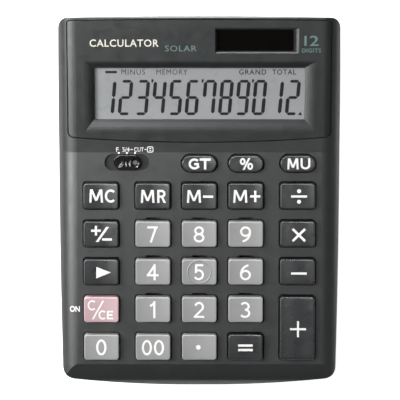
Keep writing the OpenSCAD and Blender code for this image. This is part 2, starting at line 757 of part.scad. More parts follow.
top_case();
bottom_case();
display_panel();
display_window();
lcd_glass();
lcd_reflector();
lcd_holder();
holder_screws();
lcd_ribbon();
solar_window();
solar_cell();
solar_leads();
main_board();
board_screws();
key_contacts();
processor_blob();
capacitors();
dome_sheet();
mode_slider();
slider_wiper();
battery_door();
battery_door_screw();
button_cell();
battery_spring();
battery_clip();
battery_leads();
case_screws();
rubber_feet();
for (k = KEYS) key(k);
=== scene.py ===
"""Looks of the desk calculator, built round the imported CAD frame.

Lengths are in millimetres wherever a tilted frame (KEYPAD or DISPLAY) places them, and in metres
for the camera, the lights and the floor. In a tilted frame, u runs to the right, v to the rear and
w up from the face.
"""

import math

import bmesh
import bpy
from mathutils import Matrix, Vector


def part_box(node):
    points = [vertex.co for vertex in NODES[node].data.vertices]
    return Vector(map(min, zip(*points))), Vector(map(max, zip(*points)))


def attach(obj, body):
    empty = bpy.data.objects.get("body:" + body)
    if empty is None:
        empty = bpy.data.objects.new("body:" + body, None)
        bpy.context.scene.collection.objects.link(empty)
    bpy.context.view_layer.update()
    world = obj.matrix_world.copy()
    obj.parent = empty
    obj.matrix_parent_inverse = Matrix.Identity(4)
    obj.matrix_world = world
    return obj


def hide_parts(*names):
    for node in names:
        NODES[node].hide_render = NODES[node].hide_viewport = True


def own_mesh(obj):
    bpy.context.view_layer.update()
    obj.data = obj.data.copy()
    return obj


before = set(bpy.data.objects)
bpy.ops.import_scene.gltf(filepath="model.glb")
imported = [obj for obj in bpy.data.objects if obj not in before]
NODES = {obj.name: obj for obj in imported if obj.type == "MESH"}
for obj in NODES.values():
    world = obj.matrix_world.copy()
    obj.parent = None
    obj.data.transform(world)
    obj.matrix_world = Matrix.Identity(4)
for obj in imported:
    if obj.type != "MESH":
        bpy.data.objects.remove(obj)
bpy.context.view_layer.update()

MM = 0.001
ROOT = "casing"
SMOOTH_DEGREES = 35  # faces that meet at a smaller angle are shaded as one
PATH_STEP = 0.5  # longest straight piece of a print that follows a curved surface
PRINT_LOW, PRINT_HIGH = -0.03, 0.02  # a print's faces, from the surface under it
LAYER = 0.002  # how much higher each stroke of a glyph is, so that no two faces coincide


# ---------- frames and mesh helpers ----------


def face_frame(node, u, v, w):
    """Frame of a tilted face, from a flat node whose top's middle is at (u, v, w) of that frame."""
    mesh = NODES[node].data
    level = [p for p in mesh.polygons if p.normal.z > 0.9]
    up = max(level, key=lambda p: p.area).normal.copy().normalized()
    right = Vector((1, 0, 0))
    rear = up.cross(right).normalized()
    pts = [p.co for p in mesh.vertices]
    top = max(p.dot(up) for p in pts)
    pts = [p for p in pts if p.dot(up) > top - 0.01 * MM]
    mid_u, mid_v = (
        (min(p.dot(d) for p in pts) + max(p.dot(d) for p in pts)) / 2
        for d in (right, rear)
    )
    origin = right * (mid_u - u * MM) + rear * (mid_v - v * MM) + up * (top - w * MM)
    turn = Matrix((right, rear, up)).transposed().to_4x4()
    return Matrix.Translation(origin) @ turn @ Matrix.Scale(MM, 4)


# Where each node's top middle is, in the frame of its face.
KEYPAD = face_frame("main_board", 0, 46, -7)
DISPLAY = face_frame("display_window", 0, 19, -1.62)


def local_box(node, face):
    """Lowest and highest corner of a node in a tilted frame."""
    inverse = face.inverted()
    pts = [inverse @ v.co for v in NODES[node].data.vertices]
    return [Vector(f(p[i] for p in pts) for i in range(3)) for f in (min, max)]


def footprint(node, face):
    """Middle (u, v) of a node in a tilted frame, and half its width and depth."""
    lo, hi = local_box(node, face)
    return (lo.x + hi.x) / 2, (lo.y + hi.y) / 2, (hi.x - lo.x) / 2, (hi.y - lo.y) / 2


def add(name, shape, face, material, body=ROOT):
    """A mesh piece from points in a tilted frame."""
    verts, faces = shape
    mesh = bpy.data.meshes.new(name)
    mesh.from_pydata([face @ Vector(p) for p in verts], [], faces)
    mesh.update()
    bm = bmesh.new()
    bm.from_mesh(mesh)
    bmesh.ops.recalc_face_normals(bm, faces=bm.faces)
    bm.to_mesh(mesh)
    bm.free()
    obj = bpy.data.objects.new(name, mesh)
    bpy.context.collection.objects.link(obj)
    mesh.materials.append(material)
    mesh.shade_smooth()
    mesh.set_sharp_from_angle(angle=math.radians(SMOOTH_DEGREES))
    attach(obj, body)
    return obj


def arc(cu, cv, ru, rv, a0, a1, n=16):
    """Points of an arc in n pieces, from angle a0 to a1 in degrees."""
    steps = [math.radians(a0 + (a1 - a0) * i / n) for i in range(n + 1)]
    return [(cu + ru * math.cos(a), cv + rv * math.sin(a)) for a in steps]


def circle(cu, cv, r, count):
    """Points of a closed circle, the first not repeated."""
    return arc(cu, cv, r, r, 0, 360 - 360 / count, count - 1)


def rounded(half_u, half_v, r, corner=7, side=0):
    """Counter-clockwise points of a rounded rectangle, with extra ones along its straight sides."""
    corners = []
    for su, sv, a0 in ((1, 1, 0), (-1, 1, 90), (-1, -1, 180), (1, -1, 270)):
        corners.append(arc(su * (half_u - r), sv * (half_v - r), r, r, a0, a0 + 90, corner))
    pts = []
    for here, after in zip(corners, corners[1:] + corners[:1]):
        a, b = here[-1], after[0]
        shares = [i / (side + 1) for i in range(1, side + 1)]
        pts += here + [(a[0] + (b[0] - a[0]) * s, a[1] + (b[1] - a[1]) * s) for s in shares]
    return pts


def dense(path, closed=False):
    """The path with its long pieces cut up, so that a line can follow a curved surface."""
    pts = list(path) + ([path[0]] if closed else [])
    out = [pts[0]]
    for a, b in zip(pts, pts[1:]):
        k = max(1, math.ceil(math.dist(a, b) / PATH_STEP))
        out += [
            (a[0] + (b[0] - a[0]) * i / k, a[1] + (b[1] - a[1]) * i / k)
            for i in range(1, k + 1)
        ]
    return out[:-1] if closed else out


def ring_faces(n, count, wrap):
    """Faces between neighbouring rings of n points, and from the last to the first if they wrap."""
    return [
        tuple((k + dk) % count * n + (i + di) % n for dk, di in ((0, 0), (0, 1), (1, 1), (1, 0)))
        for k in range(count if wrap else count - 1)
        for i in range(n)
    ]


def loft(rings):
    """A closed skin over rings that have equal numbers of points, with a flat cap at each end."""
    n, count = len(rings[0]), len(rings)
    caps = [tuple(range(n - 1, -1, -1)), tuple(range((count - 1) * n, count * n))]
    return [p for ring in rings for p in ring], ring_faces(n, count, False) + caps


def hoop(rings):
    """A closed skin over rings that come back to the first one."""
    return [p for ring in rings for p in ring], ring_faces(len(rings[0]), len(rings), True)


def merged(*shapes):
    """Several closed shapes as one."""
    verts, faces = [], []
    for v, f in shapes:
        k = len(verts)
        verts = verts + list(v)
        faces = faces + [tuple(i + k for i in face) for face in f]
    return verts, faces


def move(shape, du, dv):
    """The shape, moved along its tilted frame."""
    return [(u + du, v + dv, w) for u, v, w in shape[0]], shape[1]


def flat(u, v):
    """The surface of a level face."""
    return 0.0


def prism(pts, surface, low, high):
    """A thin closed plate over a 2D outline, which follows a surface."""
    return loft([[(u, v, surface(u, v) + z) for u, v in pts] for z in (low, high)])


def disc(cu, cv, r, surface):
    """A printed dot, with an inner ring so that its top follows the surface."""
    rings = []
    for share, z in ((1, PRINT_LOW), (1, PRINT_HIGH), (0.5, PRINT_HIGH)):
        pts = [(cu + share * u, cv + share * v) for u, v in circle(0, 0, r, 32)]
        rings.append([(u, v, surface(u, v) + z) for u, v in pts])
    return loft(rings)


def stroke(path, width, surface, high=PRINT_HIGH, closed=False, reach=0.0):
    """A printed line along a 2D path, mitred at its corners, with ends that reach past the path."""
    pts = [Vector(p) for p in path]
    if not closed:
        pts[0] += (pts[0] - pts[1]).normalized() * reach
        pts[-1] += (pts[-1] - pts[-2]).normalized() * reach
    pts = [Vector(p) for p in dense(pts, closed)]
    count = len(pts)
    rings = []
    for i, p in enumerate(pts):
        before = pts[(i - 1) % count] if closed or i > 0 else None
        after = pts[(i + 1) % count] if closed or i < count - 1 else None
        t1 = (p - before).normalized() if before is not None else (after - p).normalized()
        t2 = (after - p).normalized() if after is not None else t1
        along = (t1 + t2).normalized()
        mitre = width / 2 / max(0.6, along.dot(t1))
        across = Vector((-along.y, along.x)) * mitre
        left, right = p + across, p - across
        sides = (left, PRINT_LOW), (right, PRINT_LOW), (right, high), (left, high)
        rings.append([(q.x, q.y, surface(q.x, q.y) + z) for q, z in sides])
    return hoop(rings) if closed else loft(rings)


def slanted(a, b, width, surface, high):
    """A printed line between two levels, with its ends cut level."""
    a, b = Vector(a), Vector(b)
    half = width / 2 * (b - a).length / abs(b.y - a.y)
    steps = max(1, math.ceil((b - a).length / PATH_STEP))
    rings = []
    for i in range(steps + 1):
        u, v = a.lerp(b, i / steps)
        ring = ((u - half, PRINT_LOW), (u + half, PRINT_LOW), (u + half, high), (u - half, high))
        rings.append([(x, v, surface(x, v) + z) for x, z in ring])
    return loft(rings)


# ---------- materials ----------

DRIFT_SIZE, GLOSS_SIZE = 9.0, 4.0  # size of the slow changes of colour and of gloss
GLOSS_SPREAD = 0.05  # how far the roughness strays each way
COAT_ROUGHNESS = 0.12
GRAIN_DEPTH = 0.00006  # in metres
DRIFT_SPAN = (0.3, 0.7)  # values of the noise that a change runs between
SPECK_SPAN = (0.5, 0.78)  # the same for specks, so that most of the surface has none
WEAR_SPAN = (0.53, 0.62)  # the same for pointiness, so that only edges wear
GRAZE_SPAN = (0.3, 0.75)  # the same for how far the surface faces away


def colour_mix(tree, first, second, factor):
    """A mix from a colour or an output to a colour, by another output."""
    mix = tree.nodes.new("ShaderNodeMix")
    mix.data_type = "RGBA"
    if isinstance(first, bpy.types.NodeSocket):
        tree.links.new(first, mix.inputs["A"])
    else:
        mix.inputs["A"].default_value = first
    mix.inputs["B"].default_value = second
    tree.links.new(factor, mix.inputs["Factor"])
    return mix.outputs["Result"]


def arithmetic(tree, operation, first, second):
    """A sum or comparison of an output with a number or another output."""
    node = tree.nodes.new("ShaderNodeMath")
    node.operation = operation
    tree.links.new(first, node.inputs[0])
    if isinstance(second, bpy.types.NodeSocket):
        tree.links.new(second, node.inputs[1])
    else:
        node.inputs[1].default_value = second
    return node.outputs[0]


def plastic(
    name,
    color,
    rough=0.45,
    grain=0.0,
    grain_size=0.25,
    mottle=0.12,
    coat=0.0,
    specular=0.5,
    sheen=0.0,
    alpha=1.0,
    metal=0.0,
    wear=0.0,
    speck=0.0,
    graze=0.0,
):
    """A moulded material: colour that drifts a little, uneven gloss, fine grain and worn edges."""
    mat = bpy.data.materials.new(name)
    mat.use_nodes = True
    tree = mat.node_tree
    nodes, links = tree.nodes, tree.links
    nodes.clear()
    out = nodes.new("ShaderNodeOutputMaterial")
    shader = nodes.new("ShaderNodeBsdfPrincipled")
    links.new(shader.outputs["BSDF"], out.inputs["Surface"])
    for socket, value in (
        ("Specular IOR Level", specular),
        ("Coat Weight", coat),
        ("Coat Roughness", COAT_ROUGHNESS),
        ("Sheen Weight", sheen),
        ("Metallic", metal),
        ("Alpha", alpha),
    ):
        shader.inputs[socket].default_value = value
    coords = nodes.new("ShaderNodeTexCoord")

    def noise(size, detail=3.0, roughness=0.55):
        n = nodes.new("ShaderNodeTexNoise")
        n.inputs["Scale"].default_value = 1 / MM / size
        n.inputs["Detail"].default_value = detail
        n.inputs["Roughness"].default_value = roughness
        links.new(coords.outputs["Object"], n.inputs["Vector"])
        return n.outputs["Fac"]

    def ramp(source, low, high, span=DRIFT_SPAN):
        r = nodes.new("ShaderNodeMapRange")
        r.inputs["From Min"].default_value = span[0]
        r.inputs["From Max"].default_value = span[1]
        r.inputs["To Min"].default_value = low
        r.inputs["To Max"].default_value = high
        links.new(source, r.inputs["Value"])
        return r.outputs["Result"]

    def tint(gain, lift=0.0):
        return [min(1, c * gain + lift) for c in color] + [1]

    colour = colour_mix(tree, tint(1 - mottle), tint(1 + mottle), ramp(noise(DRIFT_SIZE), 0, 1))
    if speck:
        spots = ramp(noise(grain_size * 1.6, 2.0), 0, speck, SPECK_SPAN)
        colour = colour_mix(tree, colour, tint(2.2, 0.02), spots)
    if wear:
        edges = nodes.new("ShaderNodeNewGeometry").outputs["Pointiness"]
        colour = colour_mix(tree, colour, tint(1.6, 0.03), ramp(edges, 0, wear, WEAR_SPAN))
    links.new(colour, shader.inputs["Base Color"])
    gloss = ramp(
        noise(GLOSS_SIZE, 4.0), max(0.02, rough - GLOSS_SPREAD), min(1, rough + GLOSS_SPREAD)
    )
    if graze:
        # The fine grain scatters light more where it is seen at a low angle.
        weight = nodes.new("ShaderNodeLayerWeight")
        weight.inputs["Blend"].default_value = 0.5
        away = ramp(weight.outputs["Facing"], 0, graze, GRAZE_SPAN)
        gloss = arithmetic(tree, "ADD", gloss, away)
    links.new(gloss, shader.inputs["Roughness"])
    if grain:
        bump = nodes.new("ShaderNodeBump")
        bump.inputs["Strength"].default_value = grain
        bump.inputs["Distance"].default_value = GRAIN_DEPTH
        links.new(noise(grain_size, 2.0, 0.6), bump.inputs["Height"])
        links.new(bump.outputs["Normal"], shader.inputs["Normal"])
    return mat


def striped(mat, gap, share, color):
    """Adds thin lines across a material, gap apart along the object's width."""
    tree = mat.node_tree
    shader = next(n for n in tree.nodes if n.type == "BSDF_PRINCIPLED")
    coords = next(n for n in tree.nodes if n.type == "TEX_COORD")
    split = tree.nodes.new("ShaderNodeSeparateXYZ")
    tree.links.new(coords.outputs["Object"], split.inputs["Vector"])
    wrapped = arithmetic(tree, "PINGPONG", split.outputs["X"], gap * MM / 2)
    line = arithmetic(tree, "LESS_THAN", wrapped, gap * MM / 2 * share)
    base = shader.inputs["Base Color"].links[0].from_socket
    mixed = colour_mix(tree, base, list(color) + [1], line)
    tree.links.new(mixed, shader.inputs["Base Color"])
    return mat


# key: name, colour, roughness, strength of the grain and its size, then what is special about it
MOULDED = {
    "case": ("case_abs", (0.019, 0.0203, 0.021), 0.37, 0.4, 0.24,
             dict(speck=0.2, wear=0.2, specular=0.9, graze=0.5)),
    "panel": ("panel_abs", (0.014, 0.0162, 0.0168), 0.37, 0.3, 0.24,
              dict(speck=0.15, wear=0.2, specular=0.9, graze=0.5)),
    "base": ("base_abs", (0.045, 0.047, 0.05), 0.55, 0.5, 0.4, dict(speck=0.2, wear=0.2)),
    "dark": ("key_dark_abs", (0.021, 0.022, 0.024), 0.3, 0.04, 0.5,
             dict(mottle=0.08, specular=1.0)),
    "light": ("key_light_abs", (0.317, 0.32, 0.317), 0.36, 0.05, 0.5, dict(mottle=0.04)),
    "pink": ("key_pink_abs", (0.55, 0.382, 0.404), 0.36, 0.05, 0.5, dict(mottle=0.04)),
    "print": ("white_print", (0.9, 0.9, 0.88), 0.5, 0.15, 0.2, dict(mottle=0.03)),
    "print_teal": ("teal_print", (0.15, 0.24, 0.22), 0.5, 0.15, 0.2, dict(mottle=0.05)),
    "print_cream": ("cream_print", (0.86, 0.85, 0.74), 0.5, 0.15, 0.2, dict(mottle=0.03)),
    "window": ("clear_window", (0.05, 0.05, 0.05), 0.06, 0, 0.25, dict(alpha=0.05, mottle=0.02)),
    "glass": ("lcd_field", (0.455, 0.469, 0.473), 0.3, 0.05, 0.5, dict(mottle=0.03, coat=0.15)),
    "indicator": ("lcd_indicator", (0.045, 0.047, 0.055), 0.35, 0, 0.25, dict(mottle=0.15)),
    "segment": ("lcd_segment", (0.012, 0.013, 0.018), 0.35, 0, 0.25, dict(mottle=0.15)),
    "solar_window": ("smoked_window", (0.004, 0.0035, 0.003), 0.08, 0, 0.25,
                     dict(alpha=0.85, mottle=0.05)),
    "solar": ("silicon", (0.012, 0.009, 0.009), 0.2, 0, 0.25, dict(mottle=0.3)),
    "gloss": ("switch_gloss", (0.012, 0.012, 0.013), 0.14, 0.03, 0.6, dict(coat=0.6, mottle=0.1)),
    "holder": ("holder_abs", (0.012, 0.012, 0.013), 0.5, 0.3, 0.4, dict()),
    "steel": ("zinc_steel", (0.55, 0.56, 0.57), 0.34, 0.3, 0.5, dict(metal=1.0, wear=0.2)),
    "black_steel": ("black_steel", (0.06, 0.06, 0.065), 0.4, 0.3, 0.5, dict(metal=0.8, wear=0.3)),
    "film": ("reflector_film", (0.6, 0.61, 0.6), 0.3, 0.1, 0.3, dict(metal=0.6)),
    "ribbon": ("ribbon_film", (0.35, 0.17, 0.03), 0.3, 0.1, 0.4, dict()),
    "red": ("red_sleeve", (0.3, 0.02, 0.015), 0.4, 0.2, 0.5, dict()),
    "black": ("black_sleeve", (0.01, 0.01, 0.012), 0.4, 0.2, 0.5, dict()),
    "board": ("solder_resist", (0.02, 0.09, 0.035), 0.35, 0.3, 0.8, dict(mottle=0.25, coat=0.3)),
    "carbon": ("carbon_ink", (0.01, 0.01, 0.01), 0.75, 0.5, 0.2, dict()),
    "epoxy": ("epoxy", (0.006, 0.006, 0.006), 0.15, 0.05, 1.0, dict(coat=0.5)),
    "sleeve": ("shrink_sleeve", (0.012, 0.03, 0.11), 0.3, 0.1, 0.5, dict(coat=0.3)),
    "silicone": ("silicone", (0.06, 0.063, 0.065), 0.55, 0.2, 0.4, dict(mottle=0.06, sheen=0.2)),
    "brass": ("contact_brass", (0.7, 0.5, 0.2), 0.3, 0.2, 0.5, dict(metal=1.0)),
    "rubber": ("foot_rubber", (0.014, 0.014, 0.014), 0.75, 0.6, 0.5, dict(mottle=0.2)),
}
M = {key: plastic(*row[:-1], **row[-1]) for key, row in MOULDED.items()}
striped(M["solar"], 7.4, 0.06, (0.05, 0.045, 0.04))
striped(M["ribbon"], 1.0, 0.4, (0.5, 0.35, 0.12))

CAD_LOOKS = {
    "top_case": "case", "bottom_case": "base", "battery_door": "base", "display_panel": "panel",
    "display_window": "window", "lcd_glass": "glass", "lcd_reflector": "film",
    "lcd_holder": "holder", "holder_screws": "steel", "lcd_ribbon": "ribbon",
    "solar_window": "solar_window", "solar_cell": "solar", "solar_leads": "red",
    "main_board": "board", "board_screws": "steel", "key_contacts": "carbon",
    "processor_blob": "epoxy", "capacitors": "sleeve", "mode_slider": "gloss",
    "slider_wiper": "brass", "battery_door_screw": "steel", "button_cell": "steel",
    "battery_spring": "steel", "battery_clip": "steel", "battery_leads": "black",
    "case_screws": "black_steel", "rubber_feet": "rubber",
}
SOFTENED = {"top_case": 0.14, "bottom_case": 0.3, "display_panel": 0.3, "battery_door": 0.2}
SOFT_FROM_DEGREES = 28  # sharper edges than this are softened

for node, look in CAD_LOOKS.items():
    piece = NODES[node]
    piece.data.materials.clear()
    piece.data.materials.append(M[look])
    if node in SOFTENED:
        soft = piece.modifiers.new("soft_edges", "BEVEL")
        soft.width = SOFTENED[node] * MM
        soft.segments = 2
        soft.limit_method = "ANGLE"
        soft.angle_limit = math.radians(SOFT_FROM_DEGREES)
        soft.use_clamp_overlap = True
        soft.harden_normals = True


# ---------- legends ----------


def oval(cu, cv, ru, rv):
    """A closed oval as a glyph's path."""
    return ("loop", arc(cu, cv, ru, rv, 0, 360 - 360 / 28, 27))


def bend(a, b, c, n=12):
    """A quadratic curve from a to c, drawn towards b."""
    return [
        tuple((1 - t) ** 2 * p + 2 * t * (1 - t) * q + t * t * r for p, q, r in zip(a, b, c))
        for t in (i / n for i in range(n + 1))
    ]


# Each glyph fills a box from -0.5 to 0.5 both ways. A bar reaches half its width past its ends,
# a line stops at them, a cut line has level ends, and a loop closes.
SIX = [oval(0, -0.2, 0.5, 0.3), ("line", bend((-0.5, -0.12), (-0.46, 0.36), (0.34, 0.5)))]
DASH = ("bar", [(-0.5, 0), (0.5, 0)])
TOP_BAR, LOW_BAR = ("bar", [(-0.5, 0.5), (0.5, 0.5)]), ("bar", [(-0.5, -0.5), (0.5, -0.5)])
GLYPHS = {
    "0": [oval(0, 0, 0.5, 0.5)],
    "1": [("cut", [(0.5, 0.5), (0.5, -0.5)]), ("line", [(0.5, 0.44), (-0.5, 0.24)])],
    "2": [("line", arc(0, 0.2, 0.46, 0.3, 160, -25) + [(-0.46, -0.46)]), LOW_BAR],
    "3": [("line", arc(-0.06, 0.25, 0.46, 0.25, 150, -90)),
          ("line", arc(-0.06, -0.24, 0.54, 0.26, 90, -150))],
    "4": [("cut", [(0.2, 0.5), (0.2, -0.5)]), ("line", [(0.2, 0.48), (-0.46, -0.18)]),
          ("bar", [(-0.5, -0.22), (0.5, -0.22)])],
    "5": [("bar", [(0.4, 0.5), (-0.36, 0.5), (-0.42, 0.02)]),
          ("line", arc(-0.06, -0.18, 0.56, 0.32, 128, -150))],
    "6": SIX,
    "7": [TOP_BAR, ("cut", [(0.46, 0.5), (-0.22, -0.5)])],
    "8": [oval(0, 0.26, 0.43, 0.24), oval(0, -0.24, 0.5, 0.26)],
    "9": [(kind, [(-u, -v) for u, v in pts]) for kind, pts in SIX],
    "M": [("cut", [(-0.44, 0.5), (-0.5, -0.5)]), ("cut", [(-0.4, 0.5), (0, -0.36)]),
          ("cut", [(0.4, 0.5), (0, -0.36)]), ("cut", [(0.44, 0.5), (0.5, -0.5)])],
    "C": [("line", arc(0.1, 0, 0.6, 0.5, 46, 314))],
    "R": [("cut", [(-0.5, 0.5), (-0.5, -0.5)]),
          ("line", [(-0.5, 0.5), (0, 0.5), *arc(0.02, 0.24, 0.42, 0.26, 84, -84),
                    (0, -0.02), (-0.5, -0.02)]),
          ("cut", [(0.04, -0.02), (0.5, -0.5)])],
    "G": [("line", arc(0.1, 0, 0.6, 0.5, 46, 318) + [(0.5, -0.3), (0.5, -0.02), (0.06, -0.02)])],
    "T": [TOP_BAR, ("cut", [(0, 0.5), (0, -0.5)])],
    "U": [("bar", [(-0.5, 0.5), *arc(0, -0.14, 0.5, 0.36, 180, 360), (0.5, 0.5)])],
    "E": [("bar", [(0.5, 0.5), (-0.5, 0.5), (-0.5, -0.5), (0.5, -0.5)]),
          ("bar", [(-0.5, 0.02), (0.36, 0.02)])],
    "%": [oval(-0.33, 0.24, 0.17, 0.26), oval(0.33, -0.24, 0.17, 0.26),
          ("cut", [(0.25, 0.5), (-0.25, -0.5)])],
    "+": [DASH, ("bar", [(0, 0.5), (0, -0.5)])],
    "-": [DASH],
    "x": [("line", [(-0.5, 0.5), (0.5, -0.5)]), ("line", [(-0.5, -0.5), (0.5, 0.5)])],
    "/": [("cut", [(0.5, 0.5), (-0.5, -0.5)])],
    "=": [TOP_BAR, LOW_BAR],
}

# node: [(glyph, u, v, width, height, line width)], with (u, v) from the middle of the cap
LEGENDS = {
    "key_gt": [("G", -2.2, -0.1, 4.1, 4.4, 0.9), ("T", 2.3, -0.1, 4.3, 4.4, 0.9)],
    "key_percent": [("%", 0.2, -0.1, 5.2, 4.7, 0.72)],
    "key_mu": [("M", -1.95, -0.05, 4.5, 4.4, 0.8), ("U", 2.95, -0.05, 3.8, 4.4, 0.8)],
    "key_mc": [("M", -1.85, 0, 5.4, 5.25, 0.85), ("C", 3.6, 0, 4.0, 5.25, 0.85)],
    "key_mr": [("M", -2.0, -0.15, 5.4, 5.15, 0.85), ("R", 3.5, -0.15, 3.4, 5.15, 0.85)],
    "key_m_minus": [("M", -2.1, -0.15, 5.6, 5.1, 0.85), ("-", 3.5, -0.25, 4.0, 0.9, 0.9)],
    "key_m_plus": [("M", -2.2, -0.15, 5.6, 5.1, 0.85), ("+", 3.7, -0.15, 4.0, 4.5, 0.9)],
    "key_sign": [("+", -2.0, 1.3, 3.85, 3.85, 0.9), ("/", 0.5, -0.2, 5.1, 5.95, 0.9),
                 ("-", 2.35, -2.2, 3.85, 0.9, 0.9)],
    "key_clear": [("C", -3.9, 1.65, 3.1, 4.1, 0.63), ("/", -1.35, -0.25, 4.8, 7.4, 0.63),
                  ("C", 0.25, -2.25, 2.8, 3.7, 0.63), ("E", 3.45, -2.25, 2.5, 3.4, 0.63)],
    "key_divide": [("-", 0.5, -0.2, 6.3, 0.9, 0.9)],
    "key_multiply": [("x", 0.5, -0.45, 5.9, 5.8, 0.95)],
    "key_minus": [("-", 0.6, -0.7, 6.2, 0.9, 0.9)],
    "key_plus": [("+", 0.35, -0.4, 6.4, 6.5, 0.8)],
    "key_equals": [("=", -0.05, -0.35, 5.8, 2.75, 0.95)],
    "key_00": [("0", -2.45, -0.3, 4.0, 6.2, 0.85), ("0", 2.35, -0.3, 4.0, 6.2, 0.85)],
    "key_1": [("1", -0.3, -0.15, 2.5, 6.8, 0.85)],
}
DIGIT_WIDTHS = {
    "0": 4.1, "2": 4.2, "3": 4.1, "4": 4.7, "5": 3.9, "6": 4.35, "7": 4.1, "8": 4.3, "9": 4.35,
}
for char, width in DIGIT_WIDTHS.items():
    LEGENDS["key_" + char] = [(char, -0.1, -0.2, width, 6.45, 0.85)]
LEGEND_DOTS = {  # node: [(u, v, radius)]
    "key_divide": [(0.5, 1.9, 0.8), (0.5, -2.3, 0.8)],
    "key_decimal": [(-0.4, -0.2, 0.95)],
}
POINTER = [(-1.95, 1.95), (-1.95, -2.65), (3.85, -0.27)]  # solid triangle of the backspace key


def glyph_shapes(glyph, u, v, width, height, line, surface):
    """The strokes of one printed glyph."""
    shapes = []
    for k, (kind, pts) in enumerate(GLYPHS[glyph]):
        high = PRINT_HIGH + LAYER * k
        tall = height if kind == "cut" else height - line
        path = [(u + p[0] * (width - line), v + p[1] * tall) for p in pts]
        if kind == "cut":
            shapes.append(slanted(*path, line, surface, high))
        else:
            reach = line / 2 if kind == "bar" else 0
            shapes.append(stroke(path, line, surface, high, kind == "loop", reach))
    return shapes


def legend(node, surface):
    """The printed marks of a key, as one mesh of closed shapes."""
    shapes = []
    for mark in LEGENDS.get(node, []):
        shapes += glyph_shapes(*mark, surface)
    shapes += [disc(*dot, surface) for dot in LEGEND_DOTS.get(node, [])]
    if node == "key_backspace":
        shapes.append(prism(dense(POINTER, True), surface, PRINT_LOW, PRINT_HIGH))
    return merged(*shapes)


# ---------- keys ----------

# Levels are from the key face.
CAP_H = 2.8
FLANGE_LOW, FLANGE_TOP = -3.15, -2.15
FLANGE_OUT = 1.4  # how far a key's flange reaches past its cap
NOTCH_HALF = 4.5  # half the gap in a number key's flange, under the case's notch
PAINTED_SHADE_TOP = -0.55  # level below which a light key is painted in the dark keys' plastic, as painted shade in the gap round it
CAP_INSET = 0.06  # how far a cap draws in below its soft edge
REAR_LEAN = 0.45  # how far a cap's rear side leans forward
# level, how far the side draws in, and its share of the lean
CAP_SIDE = ((FLANGE_TOP, 0, 0), (-0.6, 0, 0), (0.4, 0.04, 0.4), (1.5, CAP_INSET, 0.85))
EDGE_R, EDGE_STEPS = 0.42, 7  # soft edge of a cap's top
TOP_RINGS = (0.93, 0.82, 0.66, 0.48, 0.3, 0.12)  # the top's rings, as shares of its rim
DISH = 0.5  # depth of the trough across a cap
END_DROP = 0.06  # how much lower the front and rear of the trough are
PLUNGER = ((1.7, -3.5), (1.9, -3.4), (1.9, -2.6))  # (radius, level)
CAP_CORNER, LEAST_CORNER = 1.25, 0.35
OVAL_BELOW = 4  # half the depth of a cap, below which it is an oval
# (radius, height above the cap) of the raised ring round the 5
RING = ((4.2, -0.05), (4.36, 0.09), (4.5, 0.14), (4.65, 0.14), (4.8, 0.09), (4.96, -0.05))

LIGHT_KEYS = {"key_" + d for d in "0123456789"} | {"key_00", "key_decimal"}
NOTCHED_KEYS = {"key_" + d for d in "123456789"}
keys = [n for n in NODES if n.startswith("key_") and n != "key_contacts"]


def turned(cu, cv, profile, count=24):
    """A round shape with an upright axis, from (radius, level) pairs."""
    return loft([[(u, v, z) for u, v in circle(cu, cv, r, count)] for r, z in profile])


def key_shape(half_u, half_v, r, surface, notch):
    """A cap with soft edges and a dished top, its flange and plunger, round the key's middle."""

    def outline(grow, lean=0.0, corner_grow=None):
        """The cap's outline, whose rear edge leans forward by up to lean."""
        rr = max(LEAST_CORNER, r + (grow if corner_grow is None else corner_grow))
        pts = rounded(half_u + grow, half_v + grow, rr, 7, 6)
        return [(u, v - lean * max(0.0, v) / half_v) for u, v in pts]

    def flange(height):
        ring = [(u, v, height) for u, v in outline(FLANGE_OUT)]
        if notch:
            ring = [(u, min(v, half_v) if abs(u) < NOTCH_HALF else v, w) for u, v, w in ring]
        return ring

    rings = [flange(FLANGE_LOW), flange(FLANGE_TOP)]
    for level, inset, share in CAP_SIDE:
        rings.append([(u, v, level) for u, v in outline(-inset, REAR_LEAN * share)])
    for i in range(1, EDGE_STEPS + 1):
        a = math.radians(90 * i / EDGE_STEPS)
        inset = CAP_INSET + EDGE_R * (1 - math.cos(a))
        drop = EDGE_R * (1 - math.sin(a))
        pts = outline(-inset, REAR_LEAN, -inset * 0.8)
        rings.append([(u, v, surface(u, v) - drop) for u, v in pts])
    rim = rings[-1]
    for s in TOP_RINGS:
        rings.append([(u * s, v * s, surface(u * s, v * s)) for u, v, _ in rim])
    return merged(loft(rings), turned(0, 0, PLUNGER))


def dished(half_u, half_v):
    """Height of a cap's top: a shallow trough from front to rear, a touch lower at its ends."""

    def surface(u, v):
        x = u / (half_u - EDGE_R)
        y = v / (half_v - EDGE_R)
        return CAP_H - DISH * max(0.0, 1 - x * x) - END_DROP * y * y

    return surface


def build_key(node):
    cu, cv, wide, deep = footprint(node, KEYPAD)
    half_u, half_v = wide - FLANGE_OUT, deep - FLANGE_OUT
    r = half_v - 0.01 if half_v < OVAL_BELOW else CAP_CORNER
    top = dished(half_u, half_v)
    look = "pink" if node == "key_clear" else "light" if node in LIGHT_KEYS else "dark"
    cap = key_shape(half_u, half_v, r, top, node in NOTCHED_KEYS)
    piece = add(node + "_cap", move(cap, cu, cv), KEYPAD, M[look], node)
    if look != "dark":
        # The skirt under the face is painted in the dark keys' plastic: painted shade that makes
        # the gap round the key look dark.
        piece.data.materials.append(M["dark"])
        inverse = KEYPAD.inverted()
        for face in piece.data.polygons:
            if (inverse @ face.center).z < PAINTED_SHADE_TOP:
                face.material_index = 1
    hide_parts(node)
    add(node + "_print", move(legend(node, top), cu, cv), KEYPAD, M["print"], node)
    if node == "key_5":
        ring = hoop([[(u, v, top(u, v) + z) for u, v in circle(0, -0.1, q, 60)] for q, z in RING])
        add("key_5_ring", move(ring, cu, cv), KEYPAD, M[look], node)


# ---------- dome sheet ----------

